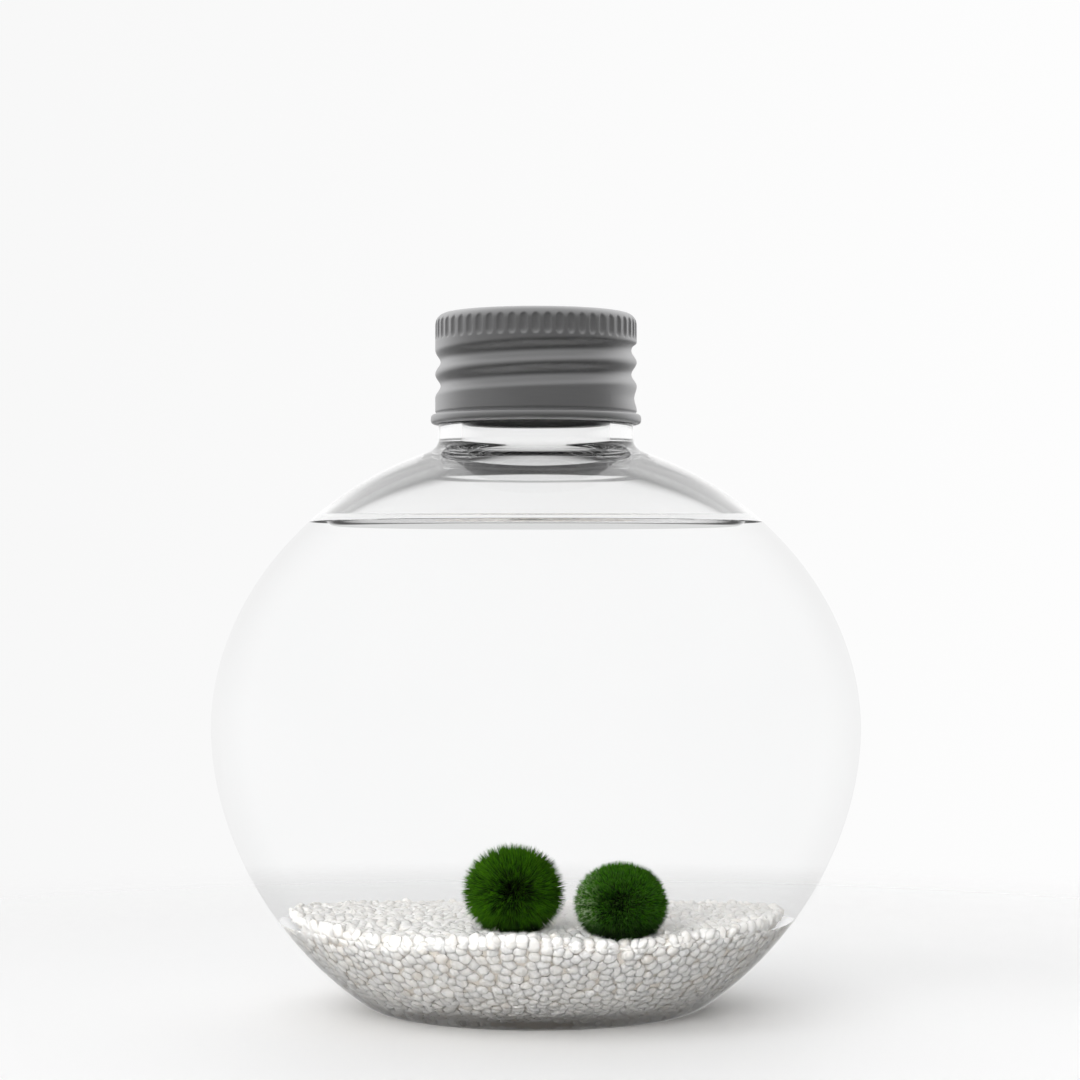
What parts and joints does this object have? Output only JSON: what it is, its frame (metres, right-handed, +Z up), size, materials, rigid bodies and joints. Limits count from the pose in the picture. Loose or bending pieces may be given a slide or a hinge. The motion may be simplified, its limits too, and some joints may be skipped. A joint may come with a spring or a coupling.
{
  "type": "marimo moss ball jar",
  "caption": "Green marimo moss balls resting on white gravel in a small water-filled glass globe jar closed by a fluted aluminium screw cap.",
  "frame": {"origin": "centre of the jar's base, on the surface that it stands on", "axes": "+Z up along the axis of the globe, the neck and the cap; -Y towards the front, where the moss balls lie"},
  "size_m": [0.1144, 0.1144, 0.1225],
  "materials": {
    "clear_glass": "clear polished blown glass",
    "water": "clear still water",
    "white_gravel": "rounded white grains, slightly translucent",
    "marimo_moss": "dense soft green threads",
    "dark_foam": "matt sealing disc",
    "satin_aluminium": "satin grey"
  },
  "bodies": {
    "jar": {"glass_jar": "clear_glass", "water": "water", "gravel_bed": "white_gravel", "moss_ball_left": "marimo_moss", "moss_ball_right": "marimo_moss"},
    "liner": {"cap_liner": "dark_foam"},
    "cap": {"screw_cap": "satin_aluminium"}
  },
  "joints": [
    {"name": "cap_rise", "type": "slide", "parent": "jar", "child": "liner", "axis": [0, 0, 1], "range_m": [0, 0.0085]},
    {"name": "cap_turn", "type": "hinge", "parent": "liner", "child": "cap", "pos_m": [0, 0, 0.11], "axis": [0, 0, 1], "range_deg": [0, 720]}
  ],
  "couplings": [
    {"joint": "cap_rise", "follows": "cap_turn", "m_per_rad": 0.00067376}
  ]
}
